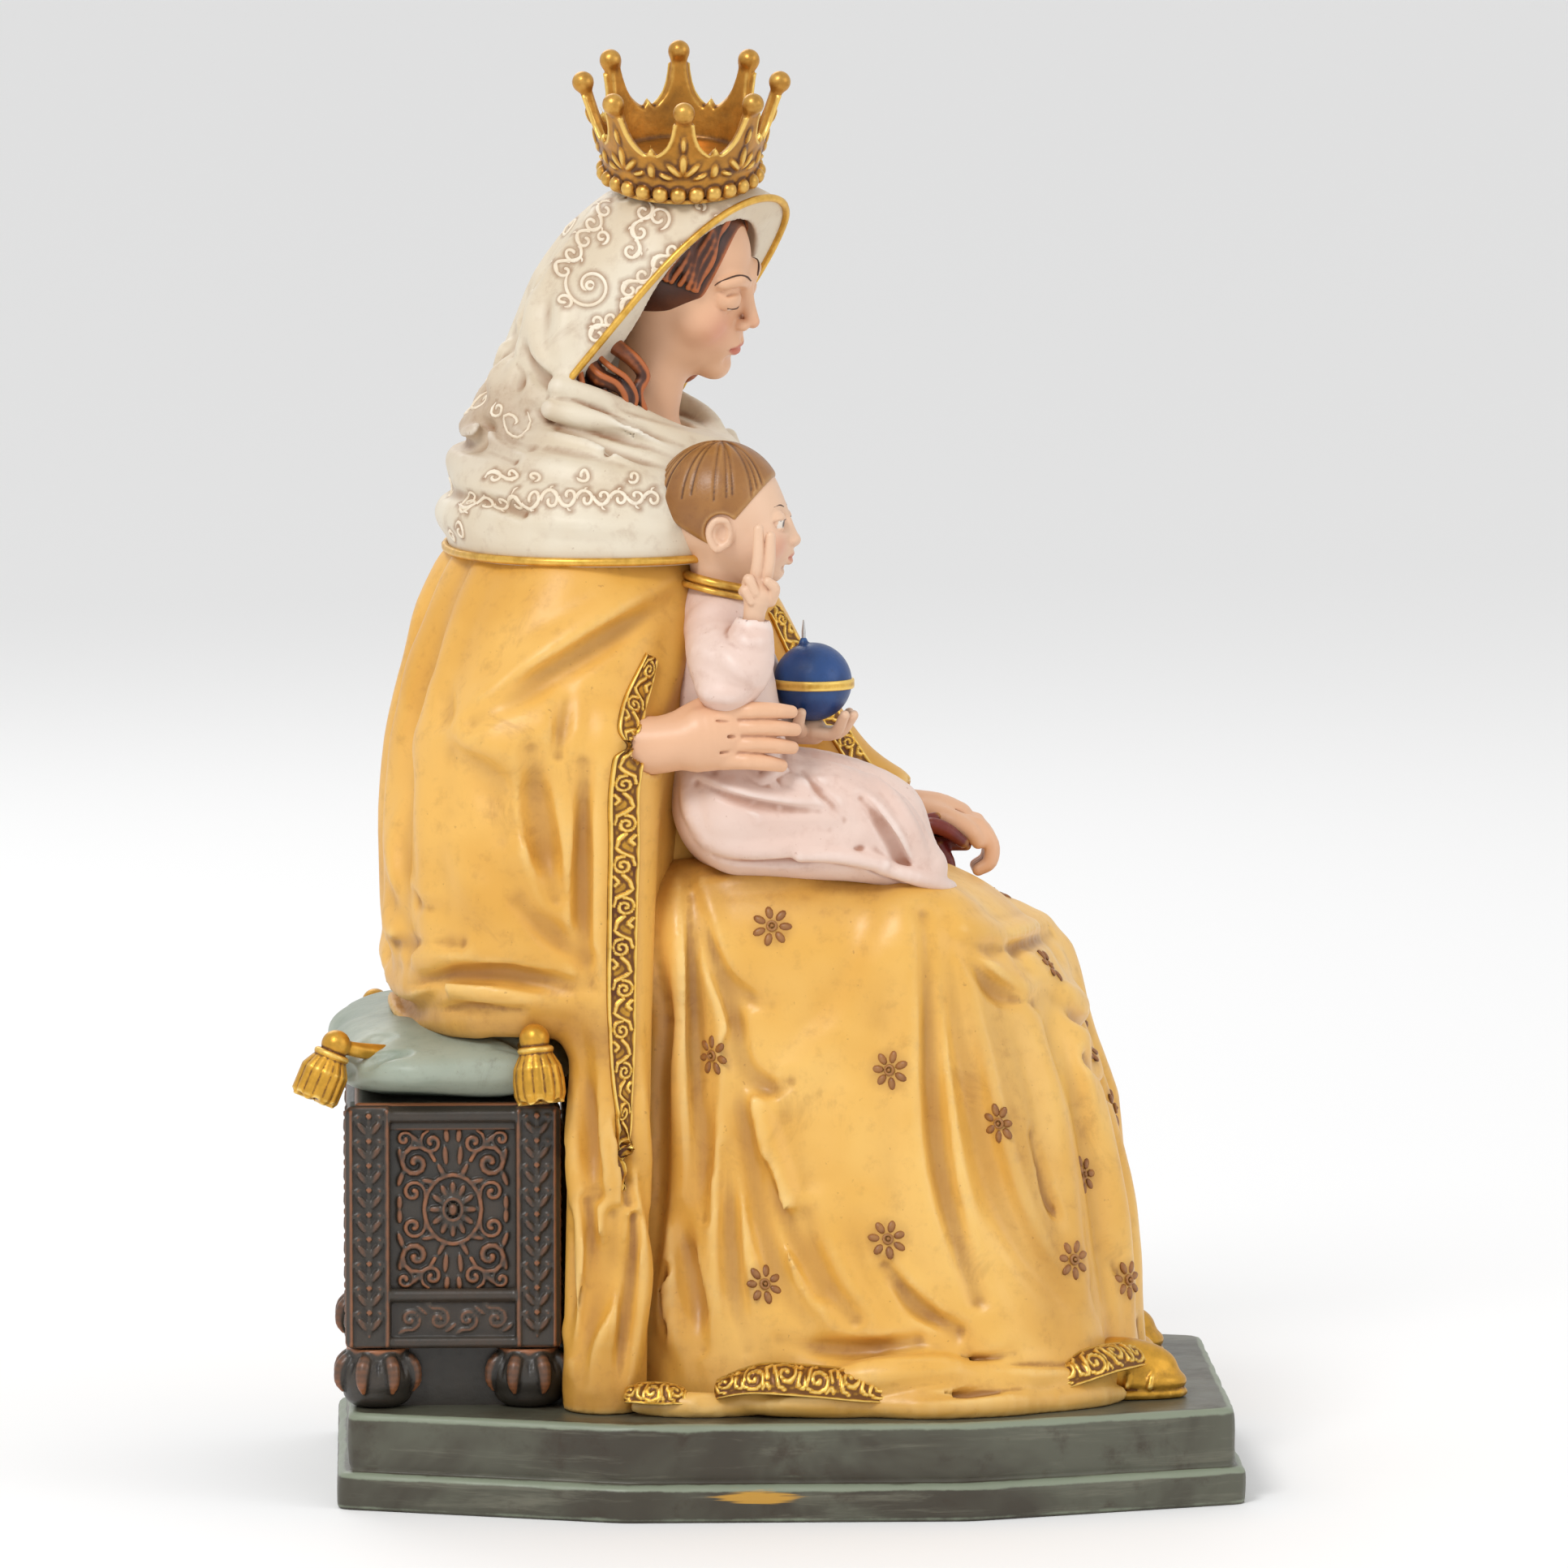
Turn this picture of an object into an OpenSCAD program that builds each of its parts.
// Seated mother-and-child statue on a stepped plinth, cast in resin and assembled with dowels.
// X points the way the figure faces, Y to the figure's left, Z up. Millimetres.

/* [Plinth] */
// Length of the lower tier, back to front
plinth_l = 199; // [190:1:215]
// Width of the lower tier, side to side
plinth_w = 150; // [144:1:165]
// Whole height of the plinth
plinth_h = 21.2; // [21.2]
// Height of the lower tier
tier_h = 8.2; // [6:0.1:10]
// How far the lower tier stands proud of the upper one
tier_step = 2.2; // [1:0.1:4]
// Length of the straight side faces
side_l = 76; // [60:1:90]
// Width of the straight end faces
end_w = 108; // [96:1:116]
// Thickness of the felt under the plinth
felt_t = 1; // [0.6:0.1:2]

/* [Stool] */
// Depth of the stool, back to front
stool_d = 46; // [44:0.5:48]
// Width of the stool, side to side
stool_w = 98; // [94:1:102]
// Side of the square corner posts
post = 9.4; // [7:0.1:11]
// Diameter of the ball feet
foot_d = 17; // [14:0.5:18]
// Height of the ball feet
foot_h = 13.4; // [13.4]
// How far the carved panels are set back
panel_back = 2.4; // [1:0.1:4]

/* [Crown] */
// Number of prongs
prongs = 8; // [6:1:10]
// Radius of the crown at its rim of beads
crown_r = 16.2; // [15:0.1:17]
// Radius of the circle through the prong tips
tip_r = 22; // [20:0.1:24]
// Height from the rim to the prong tips
crown_h = 19.5; // [16:0.1:22]
// Diameter of the balls on the prongs
ball_d = 5; // [3.5:0.1:6]
// Lean of the crown towards the figure's right
crown_lean = 16; // [10:1:20]

/* [Globe] */
// Diameter of the globe
globe_d = 17.2; // [15:0.1:18]
// Width of the gilded band
band_w = 2.2; // [1.5:0.1:3]
// Height of the spike above the globe
spike_h = 5; // [3:0.5:7]

/* [Dowels] */
// Diameter of the large locating dowels
dowel_d = 4; // [3:0.5:5]
// Diameter of the pins that hold the hands
pin_d = 1.6; // [1.2:0.1:2]

/* [Hidden] */
$fn = 48;
seg = 24;            // points round a lofted section
gap = 0.3;           // glue gap between castings
stool_x = -74;       // middle of the stool
stool_x0 = stool_x - stool_d / 2;
stool_x1 = stool_x + stool_d / 2;
rail_z = plinth_h + foot_h;      // underside of the stool's frame
rail_h = 12.4;
seat_z = 88;
head_c = [-23, -3, 266];         // middle of the skull
head_rot = [12, 12, -20];        // lean to the right, bow, turn to the right
crown_c = [-22.9, -5, 289.5];
child_c = [-13.5, -33, 216];     // middle of the child's skull
globe_c = [5.4, -26, 178.5];
resin_skin = [0.86, 0.66, 0.52];
ochre = [0.86, 0.66, 0.30];

// Sections are [z, x back, x front, y right, y left, squareness].
gown_s = [
  [plinth_h, -46, 79, -62, 58, 2.6], [30, -46, 80, -60, 57, 2.6], [60, -46, 77, -55, 54, 2.5],
  [90, -46, 72, -51, 52, 2.5], [108, -46, 66, -49, 51, 2.5], [120, -46, 59, -47, 49, 2.5],
  [130, -45, 47, -44, 46, 2.5], [136, -43, 34, -40, 40, 2.4], [139.5, -36, 22, -30, 28, 2.2]];
mantle_s = [
  [103, -82, -26, -50, 49, 2.8], [108, -86, -25, -53, 52, 2.8], [125, -88, -24, -55, 54, 2.7],
  [150, -87, -22, -56, 54, 2.6], [165, -85, -18, -56, 54, 2.5], [180, -82, -15, -53, 51, 2.4],
  [195, -78, -13, -48, 47, 2.4], [206, -74, -12, -43, 43, 2.3], [212, -68, -16, -36, 36, 2.2]];
bodice_s = [
  [132, -60, -14, -26, 27, 2.4], [150, -60, -9, -27, 28, 2.4], [170, -60, -7.5, -28, 29, 2.4],
  [188, -60, -8, -28, 29, 2.4], [200, -58, -11, -26, 27, 2.3], [206.5, -56, -14, -24, 25, 2.3]];
veil_s = [
  [206.5, -74, -10, -45, 44, 2.3], [211, -75.5, -8, -46.5, 45, 2.3], [218, -74, -6, -44, 42, 2.2], [226, -72, -9, -38, 36, 2.2],
  [234, -70, -13, -30, 27, 2.1], [242, -67, -14, -25, 21, 2.1], [252, -61, -8, -24.5, 19, 2.1],
  [262, -56, -2, -25, 19, 2.1], [272, -50, 1, -25, 18, 2.1], [280, -44, 0, -22, 15, 2.0],
  [285, -38, -6, -18, 10, 2.0], [287.5, -32, -14, -11, 3, 2.0]];

function sgn_pow(v, e) = sign(v) * pow(abs(v), e);
function ring(s) = [for (i = [0:seg - 1]) let (a = 360 * i / seg, e = 2 / s[5])
  [(s[1] + s[2]) / 2 + (s[2] - s[1]) / 2 * sgn_pow(cos(a), e),
   (s[3] + s[4]) / 2 + (s[4] - s[3]) / 2 * sgn_pow(sin(a), e), s[0]]];

// Closed skin through a stack of level sections
module loft(ss) {
  n = len(ss);
  polyhedron(
    points = [for (s = ss) each ring(s)],
    faces = concat([[for (i = [0:seg - 1]) i]], [[for (i = [seg - 1:-1:0]) (n - 1) * seg + i]],
      [for (j = [0:n - 2]) for (i = [0:seg - 1]) each [
        [j * seg + i, (j + 1) * seg + i, (j + 1) * seg + (i + 1) % seg],
        [j * seg + i, (j + 1) * seg + (i + 1) % seg, j * seg + (i + 1) % seg]]]));
}

// A limb through balls, each [x, y, z, radius], as one smooth closed skin with round ends
function xyz(b) = [b[0], b[1], b[2]];
function unit(v) = v / norm(v);
function around(c, r, u, v, n) = [for (i = [0:n - 1]) let (a = 360 * (i + 0.5) / n) c + r * (cos(a) * u + sin(a) * v)];
module limb(balls, n = 14) {
  k = len(balls);
  way = unit(xyz(balls[k - 1]) - xyz(balls[0]));
  ref = abs(way[2]) > 0.8 ? [1, 0, 0] : [0, 0, 1];
  ts = [for (i = [0:k - 1]) unit(xyz(balls[min(i + 1, k - 1)]) - xyz(balls[max(i - 1, 0)]))];
  us = [for (t = ts) unit(cross(ref, t))];
  vs = [for (i = [0:k - 1]) cross(ts[i], us[i])];
  e = k - 1;
  rings = concat(
    [for (w = [65, 32]) around(xyz(balls[0]) - ts[0] * balls[0][3] * sin(w), balls[0][3] * cos(w), us[0], vs[0], n)],
    [for (i = [0:e]) around(xyz(balls[i]), balls[i][3], us[i], vs[i], n)],
    [for (w = [32, 65]) around(xyz(balls[e]) + ts[e] * balls[e][3] * sin(w), balls[e][3] * cos(w), us[e], vs[e], n)]);
  m = len(rings);
  polyhedron(
    points = concat([for (r = rings) each r], [xyz(balls[0]) - ts[0] * balls[0][3], xyz(balls[e]) + ts[e] * balls[e][3]]),
    faces = concat(
      [for (i = [0:n - 1]) [m * n, i, (i + 1) % n]],
      [for (i = [0:n - 1]) [m * n + 1, (m - 1) * n + (i + 1) % n, (m - 1) * n + i]],
      [for (j = [0:m - 2]) for (i = [0:n - 1]) each [
        [j * n + i, (j + 1) * n + i, (j + 1) * n + (i + 1) % n],
        [j * n + i, (j + 1) * n + (i + 1) % n, j * n + (i + 1) % n]]]));
}

module octagon(l, w, sl, ew) {
  polygon([[sl / 2, -w / 2], [l / 2, -ew / 2], [l / 2, ew / 2], [sl / 2, w / 2],
    [-sl / 2, w / 2], [-l / 2, ew / 2], [-l / 2, -ew / 2], [-sl / 2, -w / 2]]);
}

module rod(p, d, h, r = [0, 0, 0]) { translate(p) rotate(r) cylinder(d = d, h = h, $fn = 32); }

// --- dowels, and the holes that take them ---
module figure_dowel_set(gap_r = 0) {
  for (x = [-10, 38]) rod([x, 0, plinth_h - 9], dowel_d + 2 * gap_r, 20);
}
module head_dowel_solid(gap_r = 0) { rod([-36, 0, 200], dowel_d + 2 * gap_r, 32, [0, 5, 0]); }
module crown_peg_solid(gap_r = 0) {
  translate(crown_c) rotate([crown_lean, 0, 0]) translate([0, 0, -13]) cylinder(d = dowel_d + 2 * gap_r, h = 13.8, $fn = 32);
}
module right_pin_solid(gap_r = 0) { rod([-40, -50, 167], pin_d + 2 * gap_r, 18, [0, 86, -6]); }
module left_pin_solid(gap_r = 0) { rod([13, 37.5, 147.2], pin_d + 2 * gap_r, 20, [0, 104, -3]); }
module child_neck_solid(gap_r = 0) { rod([-16, -34, 190], 3 + 2 * gap_r, 15, [0, 4, 0]); }
module child_seat_solid(gap_r = 0) { for (x = [-10, 5]) rod([x, -28, 131], 3 + 2 * gap_r, 16); }
module child_pins_solid(gap_r = 0) {
  rod([-10.5, -48.5, 187], pin_d + 2 * gap_r, 12, [0, 8, 0]);
  rod([-9, -24, 166.4], pin_d + 2 * gap_r, 12, [0, 84, 0]);
}
module spike_hole(gap_r = 0) {
  translate(globe_c) translate([-2, 0, globe_d / 2 - 4]) cylinder(d = 0.9 + 2 * gap_r, h = 4 + spike_h * 0.5, $fn = 24);
}

// --- plinth ---
module plinth() {
  color([0.23, 0.25, 0.22]) difference() {
    union() {
      linear_extrude(tier_h) octagon(plinth_l, plinth_w, side_l, end_w);
      translate([0, 0, tier_h]) linear_extrude(plinth_h - tier_h)
        octagon(plinth_l - 2 * tier_step, plinth_w - 2 * tier_step, side_l - 1, end_w - 3);
    }
    translate([0, 0, -1]) linear_extrude(felt_t + 1) octagon(plinth_l - 12, plinth_w - 12, side_l - 5, end_w - 8);
    figure_dowel_set(gap / 2);
  }
}
module felt_pad() {
  color([0.16, 0.20, 0.16]) linear_extrude(felt_t)
    octagon(plinth_l - 13, plinth_w - 13, side_l - 5.4, end_w - 8.6);
}
module figure_dowels() { color("silver") figure_dowel_set(); }

// --- stool ---
module stool_core() {
  i = panel_back + 3;
  color([0.16, 0.14, 0.12]) {
    translate([stool_x0 + 6, -stool_w / 2 + 6, plinth_h]) cube([stool_d - 12, stool_w - 12, foot_h]);
    translate([stool_x0 + i, -stool_w / 2 + i, rail_z]) cube([stool_d - 2 * i, stool_w - 2 * i, seat_z - rail_z - 3]);
  }
}
module stool_frame() {
  i = panel_back + 3;
  color([0.27, 0.17, 0.11]) {
    difference() {
      union() {
        for (x = [stool_x0, stool_x1 - post], y = [-stool_w / 2, stool_w / 2 - post])
          translate([x, y, rail_z]) cube([post, post, seat_z - rail_z - 3]);
        translate([stool_x0 + 1, -stool_w / 2 + 1, rail_z]) cube([stool_d - 2, stool_w - 2, rail_h]);
      }
      translate([stool_x0 + i, -stool_w / 2 + i, rail_z - 1]) cube([stool_d - 2 * i, stool_w - 2 * i, 70]);
    }
    translate([stool_x0, -stool_w / 2, seat_z - 3]) cube([stool_d, stool_w, 3]);
  }
}
module stool_panels() {
  z = rail_z + rail_h; h = seat_z - 3 - z; t = 3;
  color([0.22, 0.15, 0.11]) {
    for (s = [-1, 1]) translate([stool_x0 + post, s * (stool_w / 2 - panel_back - t / 2) - t / 2, z]) cube([stool_d - 2 * post, t, h]);
    translate([stool_x0 + panel_back, -stool_w / 2 + post, z]) cube([t, stool_w - 2 * post, h]);
  }
}
module ball_foot() {
  rotate_extrude($fn = 48) intersection() {
    translate([0, foot_h / 2]) scale([1, 1]) circle(d = foot_d, $fn = 48);
    square([foot_d, foot_h]);
  }
}
module stool_feet() {
  color([0.2, 0.17, 0.15]) difference() {
    for (x = [stool_x0 + 6.5, stool_x1 - 6.5], y = [-stool_w / 2 + 6.5, stool_w / 2 - 6.5])
      translate([x, y, plinth_h]) ball_foot();
    translate([stool_x0 + 6, -stool_w / 2 + 6, plinth_h - 1]) cube([stool_d - 12, stool_w - 12, foot_h + 2]);
  }
}
module cushion_solid() {
  hull() for (x = [stool_x0 + 3.5, stool_x1 - 3.5], y = [-1, 1]) {
    translate([x, y * (stool_w / 2 - 2), seat_z + 8.2]) sphere(r = 6.5, $fn = 24);
    translate([stool_x + (x - stool_x) * 0.8, y * (stool_w / 2 - 12), seat_z + 6.5]) cylinder(r = 5, h = 13, $fn = 24);
    translate([stool_x + (x - stool_x) * 0.8, y * (stool_w / 2 - 12), seat_z]) cylinder(r = 9, h = 1, $fn = 24);
  }
}
module cushion() { color([0.50, 0.60, 0.56]) cushion_solid(); }
module tassel() {
  translate([0, 0, 6.2]) sphere(d = 5.2, $fn = 32);
  rotate_extrude($fn = 40) polygon([[0, 5.4], [1.9, 5.2], [2.3, 4], [4.1, -1], [4.3, -4], [3.4, -5.6], [0, -6]]);
}
module cushion_tassels() {
  color([0.78, 0.58, 0.22]) difference() {
    for (y = [-1, 1]) {
      translate([stool_x0 - 5.2, y * (stool_w / 2 + 0.5), seat_z + 8]) rotate([y * -14, 18, 0]) tassel();
      translate([stool_x1 - 5.5, y * (stool_w / 2 + 8.2), seat_z + 8.4]) rotate([y * -12, 0, 0]) tassel();
    }
    cushion_solid();
  }
}

// --- clothed figure ---
module lap_solid() {
  loft(gown_s);
  limb([[-24, -32, 122, 16], [28, -32, 119, 17]]);
  limb([[-24, 27, 118, 18], [42, 29, 108, 20]]);
}
module gown_solid() {
  lap_solid();
  loft(bodice_s);
  limb([[32, -33, 115, 16], [40, -34, 86, 17], [46, -38, 40, 17]]);
  limb([[44, 29, 105, 18], [57, 28, 80, 17], [62, 26, 40, 17]]);
  limb([[-30, -55, 26, 4.8], [30, -57, 26, 4.8], [58, -48, 26, 4.8]], 12);
}
module gown() {
  color(ochre) difference() {
    gown_solid();
    translate([-200, -100, -20]) cube([400, 200, 20 + plinth_h]);
    child_trunk();
    child_arms();
    shoes_solid();
    figure_dowel_set(gap / 2);
    child_seat_solid(gap / 2);
    head_dowel_solid(gap / 2);
  }
}
module shoes_solid() { for (s = [[74, -35, -6], [72, 22, 8]]) translate([s[0], s[1], plinth_h]) rotate([0, 0, s[2]])
  hull() { translate([-14, 0, 5]) sphere(r = 5, $fn = 20); translate([9, 0, 3.6]) sphere(r = 3.6, $fn = 20); translate([0, 0, 4.4]) sphere(r = 5.5, $fn = 20); } }
module shoes() {
  color([0.45, 0.25, 0.12]) difference() { shoes_solid(); translate([0, 0, plinth_h - 20]) cube([400, 400, 40], center = true); }
}
module mantle_solid() {
  loft(mantle_s);
  limb([[-46, -34, 196, 13], [-59, -44, 172, 12.5]]);
  limb([[-60, -44, 168, 12.5], [-38, -50, 166.5, 7.5]]);
  limb([[-44, 34, 195, 13], [-44, 43, 170, 13]]);
  limb([[-44, 43, 166, 13], [-10, 43, 155, 11.5], [24, 37.5, 145.5, 7.5]]);
  for (s = [-1, 1]) limb([[-40, s * 45, 120, 10], [-40, s * 48, 70, 10], [-41, s * 50, 27, 9]]);
}
module mantle() {
  color(ochre) difference() {
    mantle_solid();
    lap_solid();
    loft(bodice_s);
    cushion_solid();
    stool_block();
    child_trunk();
    veil_core();
    right_wrist();
    left_wrist();
    right_pin_solid(gap / 2);
    left_pin_solid(gap / 2);
    translate([-200, -100, -20]) cube([400, 200, 20 + plinth_h]);
  }
}
module stool_block() {
  translate([stool_x0 - 8, -80, plinth_h - 1]) cube([stool_d + 8.4, 160, seat_z - plinth_h + 2]);
}
module veil_core() { loft(veil_s); }
module head_frame() { translate(head_c) rotate([head_rot[0], 0, 0]) rotate([0, 0, head_rot[2]]) rotate([0, head_rot[1], 0]) children(); }
// The face looks along X in this frame
module head_solid() {
  head_frame() {
    hull() {
      translate([-1, 0, 3]) scale([1.12, 0.86, 1]) sphere(r = 15.6, $fn = 28);
      translate([7, 0, -9]) sphere(r = 8.6, $fn = 20);
      translate([10, 0, -17]) sphere(r = 3.6, $fn = 20);
    }
    hull() { translate([15.6, 0, 1.5]) sphere(r = 1.2, $fn = 12); translate([18.2, 0, -5.4]) sphere(r = 1.6, $fn = 12); }
  }
  difference() {
    limb([[-27, -3, 258, 7.5], [-31, -2, 244, 7.8], [-33, -1, 232, 9], [-34, 0, 218, 15]]);
    translate([-34, 0, 219 - 30]) cube(60, center = true);
  }
}
module face_cut() {
  head_frame() hull() {
    translate([12, 0, 2]) scale([1, 0.86, 1.1]) sphere(r = 17, $fn = 24);
    translate([34, 0, -4]) sphere(r = 24, $fn = 20);
    translate([30, 0, -30]) sphere(r = 16, $fn = 20);
  }
}
module veil() {
  color([0.88, 0.85, 0.76]) difference() {
    veil_core();
    face_cut();
    head_solid();
    hair_solid();
    child_head_solid();
    child_hair_shell();
    head_dowel_solid(gap / 2);
    crown_peg_solid(gap / 2);
    translate(crown_c) rotate([crown_lean, 0, 0]) translate([0, 0, -2.2]) cylinder(r = crown_r + 2.6, h = 20);
  }
}
module head() {
  color(resin_skin) difference() {
    head_solid();
    head_dowel_solid(gap / 2);
    crown_peg_solid(gap / 2);
  }
}
module hair_solid() {
  head_frame() difference() {
    hull() {
      translate([-0.5, 0, 3.4]) scale([1.14, 0.95, 1.02]) sphere(r = 16.4, $fn = 28);
      translate([-4, -12, -12]) sphere(r = 5, $fn = 16);
      translate([-4, 12, -12]) sphere(r = 5, $fn = 16);
    }
    hull() {
      translate([14, 0, 1]) scale([1, 1, 1.05]) sphere(r = 11.5, $fn = 24);
      translate([14, 0, -22]) sphere(r = 14, $fn = 20);
    }
  }
  head_frame() for (s = [-1, 1]) limb([[-4, s * 12, -8, 3.6], [-8, s * 12, -16, 3.8], [-7, s * 11.5, -21, 2.6]], 14);
}
module hair() {
  color([0.36, 0.17, 0.08]) difference() {
    hair_solid();
    head_solid();
    crown_peg_solid(gap / 2);
  }
}
module head_dowel() { color("silver") head_dowel_solid(); }

// --- crown ---
// The valley between two prongs, cut through the wall from outside
module valley() {
  w = 360 / prongs;
  rotate([90, 0, 90]) linear_extrude(tip_r + 6)
    polygon(concat([[-tip_r * sin(w / 2) * 0.86, crown_h + 4], [-tip_r * sin(w / 2) * 0.8, crown_h - 1]],
      [for (a = [180:20:360]) [tip_r * sin(w / 2) * 0.62 * cos(a), crown_h * 0.56 + crown_h * 0.16 * sin(a)]],
      [[tip_r * sin(w / 2) * 0.8, crown_h - 1], [tip_r * sin(w / 2) * 0.86, crown_h + 4]]));
}
module crown() {
  color([0.75, 0.55, 0.20]) translate(crown_c) rotate([crown_lean, 0, 0]) difference() {
    union() {
      difference() {
        rotate_extrude($fn = 64) polygon([[0, -1.6], [crown_r - 1, -1.6], [crown_r, 1.2], [crown_r + 0.6, 4],
          [tip_r - 2, crown_h * 0.6], [tip_r + 0.6, crown_h], [tip_r - 1.6, crown_h + 0.6], [tip_r - 4, crown_h * 0.6],
          [crown_r - 1.4, 4], [crown_r - 1.8, 1.6], [0, 1.6]]);
        for (i = [0:prongs - 1]) rotate((i + 0.5) * 360 / prongs) valley();
      }
      rotate_extrude($fn = 64) translate([crown_r + 0.3, 0]) circle(r = 1.7, $fn = 20);
      for (i = [0:prongs - 1]) rotate(i * 360 / prongs) translate([tip_r - 0.4, 0, crown_h + 0.8]) sphere(d = ball_d, $fn = 32);
    }
    translate([0, 0, -3]) cylinder(d = dowel_d + gap, h = 4, $fn = 32);
  }
}
module crown_peg() { color("silver") crown_peg_solid(); }

// --- hands ---
module finger(a, b, c, r) { limb([[a[0], a[1], a[2], r], [b[0], b[1], b[2], r * 0.95], [c[0], c[1], c[2], r * 0.8]], 10); }
module right_wrist() { limb([[-33, -49.5, 166.5, 6], [-24, -50.5, 167, 5.8], [-16, -51, 168.2, 5.6]]); }
module right_hand_solid() {
  right_wrist();
  limb([[-17, -51.5, 171.5, 3.4], [-15, -50.5, 164.5, 3.4]], 12);
  for (i = [0:3]) finger([-14, -52, 172.6 - i * 2.7], [-7, -53.2, 172.9 - i * 2.9], [-1 - i * 0.7, -52, 172.6 - i * 2.9], 1.7);
  limb([[-22, -49, 170, 2.6], [-15, -47, 174, 2.2], [-10, -45, 175.5, 1.8]], 10);
}
module right_hand() { color(resin_skin) difference() { right_hand_solid(); child_trunk(); right_pin_solid(gap / 2); } }
module right_hand_pin() { color("silver") right_pin_solid(); }
module left_wrist() { limb([[24, 36, 144, 5.2], [33, 35, 142, 5.4], [38, 34, 140.5, 5.4]]); }
module left_hand_solid() {
  left_wrist();
  for (i = [0:3]) finger([41, 38.5 - i * 3.1, 140], [46.5, 39 - i * 3.2, 136.5], [48, 39 - i * 3.2, 131.2 + i * 0.3], 1.8);
  limb([[32, 30.5, 143, 2.4], [38, 26.8, 141.5, 2.1], [42, 26, 139, 1.8]], 10);
}
module left_hand() { color(resin_skin) difference() { left_hand_solid(); left_pin_solid(gap / 2); } }
module left_hand_pin() { color("silver") left_pin_solid(); }
module scapular_solid() {
  hull() for (p = [[30, 27, 139.5, 2], [41, 29, 137, 2], [42, 36, 134, 2.4], [31, 34, 136, 2.4], [36, 26, 134, 2]])
    translate([p[0], p[1], p[2]]) sphere(r = p[3], $fn = 16);
}
module scapular() { color([0.35, 0.12, 0.08]) difference() { scapular_solid(); left_hand_solid(); } }

// --- child ---
module child_trunk() {
  limb([[-15, -33, 192, 8.5], [-15, -33, 180, 11], [-13, -33, 165, 12], [-12, -32, 152, 13]]);
  limb([[-12, -38, 152, 12], [10, -37.5, 150, 10.5], [19, -37, 147, 8.6]]);
  limb([[18, -37, 147.5, 8.4], [28, -35.5, 139.5, 5.4]]);
  limb([[-10, -24, 153, 11.5], [14, -20, 151, 9.5], [22, -19, 148, 8]]);
  limb([[21, -19.5, 148, 7.6], [30, -22, 136, 4.4]]);
}
module child_arms() {
  limb([[-17, -42, 191, 6.4], [-15, -49, 182, 6.6]], 12);
  limb([[-15, -50, 181, 6.6], [-10, -49.5, 188, 5.2]], 12);
  limb([[-12, -25, 188, 6.4], [-7, -21.5, 178, 6.2]], 12);
  limb([[-7.5, -21.5, 176, 6.2], [-3, -23, 169, 4.6]], 12);
}
module child_body() {
  color([0.87, 0.73, 0.67]) difference() {
    union() { child_trunk(); child_arms(); }
    child_neck_solid(gap / 2);
    child_seat_solid(gap / 2);
    child_pins_solid(gap / 2);
    child_head_solid();
    translate(globe_c) sphere(d = globe_d + 0.4, $fn = 32);
    translate(globe_c) cylinder(d = globe_d + 1.4, h = band_w + 0.4, center = true, $fn = 32);
    child_left_solid();
    child_right_solid();
  }
}
module child_head_solid() {
  translate(child_c) {
    translate([-1.2, 0, 1.2]) sphere(r = 13.2);
    translate([4.6, 0, -3.6]) sphere(r = 10);
    translate([6.8, 0, -7.6]) sphere(r = 6.4);
  }
  translate([-15.5, -33.5, 196]) cylinder(r = 5.4, h = 12);
}
module child_ears(grow = 0) {
  translate(child_c) for (s = [-1, 1]) translate([0.5, s * 12.4, -3.6]) rotate([90, 12, 0]) cylinder(r = 3.2 + grow, h = 2.2 + 2 * grow, center = true);
}
module child_hair_shell() { translate(child_c) translate([-2, 0, 1.8]) sphere(r = 14.2); }
module child_head() {
  color(resin_skin) difference() {
    union() {
      child_head_solid();
      child_ears();
      translate(child_c) translate([13.6, 0, -3.4]) sphere(r = 1.5);
    }
    child_neck_solid(gap / 2);
    child_right_solid();
  }
}
module child_hair() {
  color([0.42, 0.27, 0.10]) difference() {
    child_hair_shell();
    translate(child_c) translate([17.5, 0, -5]) sphere(r = 16.5);
    translate(child_c) translate([-30, -30, -40]) rotate([0, -8, 0]) cube([60, 60, 30.5]);
    child_head_solid();
    child_ears(0.2);
  }
}
module child_neck_dowel() { color("silver") child_neck_solid(); }
module child_seat_dowel() { color("silver") child_seat_solid(); }
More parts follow.
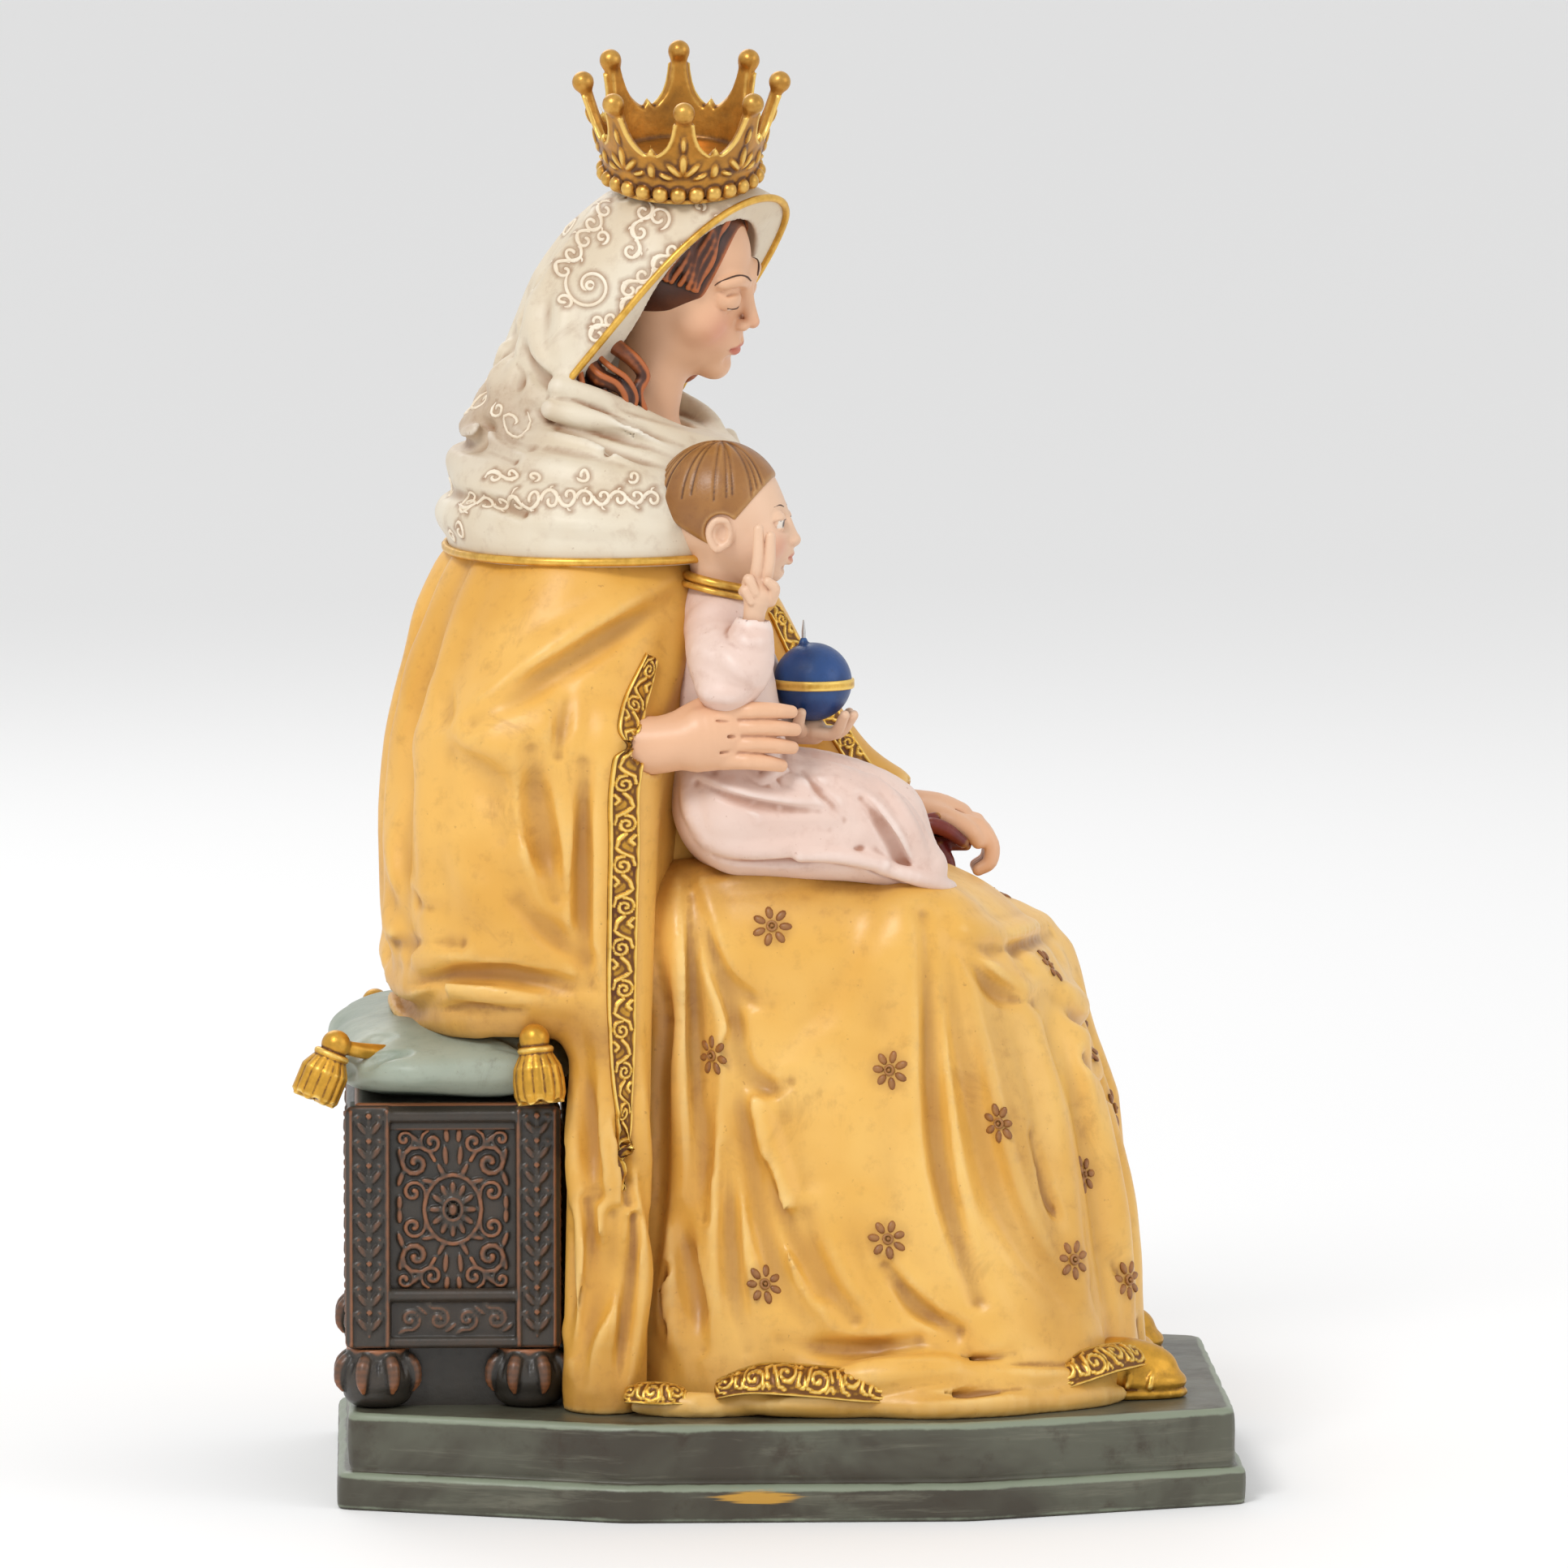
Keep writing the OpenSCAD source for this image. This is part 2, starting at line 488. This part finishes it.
module child_right_solid() {
  limb([[-9.5, -49.5, 191, 3], [-8.8, -49.8, 199, 2.9]], 12);
  limb([[-9.2, -49.8, 201, 3.4], [-7.6, -49.6, 203.4, 3.1]], 12);
  limb([[-8.6, -50.2, 204, 1.3], [-7.4, -50.4, 213.2, 1]], 10);
  limb([[-6.2, -49.4, 204, 1.3], [-5, -49.6, 212.6, 1]], 10);
}
module child_right_hand() { color(resin_skin) difference() { child_right_solid(); child_pins_solid(gap / 2); } }
module child_left_solid() {
  limb([[-3, -24, 168, 3], [3, -25.5, 168.2, 2.6]], 12);
  for (i = [0:3]) limb([[3, -22.6 - i * 1.7, 168, 1.1], [8, -22.4 - i * 2, 169.2, 0.9]], 8);
}
module child_left_hand() { color(resin_skin) difference() { child_left_solid(); child_pins_solid(gap / 2); translate(globe_c) sphere(d = globe_d + 0.2, $fn = 32); } }
module child_hand_pins() { color("silver") child_pins_solid(); }

// --- globe ---
module globe() {
  color([0.06, 0.17, 0.36]) translate(globe_c) difference() {
    sphere(d = globe_d, $fn = 64);
    difference() { cylinder(d = globe_d + 2, h = band_w, center = true); cylinder(d = globe_d - 1.2, h = band_w + 1, center = true); }
    translate([-2, 0, globe_d / 2 - 4.1]) cylinder(d = 0.9 + gap, h = 8, $fn = 24);
  }
}
module globe_band() {
  color([0.72, 0.52, 0.20]) translate(globe_c) difference() {
    cylinder(d = globe_d + 0.7, h = band_w, center = true, $fn = 64);
    cylinder(d = globe_d - 1.2, h = band_w + 1, center = true, $fn = 64);
  }
}
module globe_spike() {
  color("silver") {
    spike_hole();
    translate(globe_c) translate([-2, 0, globe_d / 2 + spike_h * 0.5]) cylinder(d1 = 0.9, d2 = 0.3, h = spike_h * 0.5, $fn = 24); }
}

plinth();
felt_pad();
figure_dowels();
stool_core();
stool_frame();
stool_panels();
stool_feet();
cushion();
cushion_tassels();
gown();
shoes();
mantle();
veil();
head();
hair();
head_dowel();
crown();
crown_peg();
right_hand();
right_hand_pin();
left_hand();
left_hand_pin();
scapular();
child_body();
child_head();
child_hair();
child_neck_dowel();
child_seat_dowel();
child_right_hand();
child_left_hand();
child_hand_pins();
globe();
globe_band();
globe_spike();
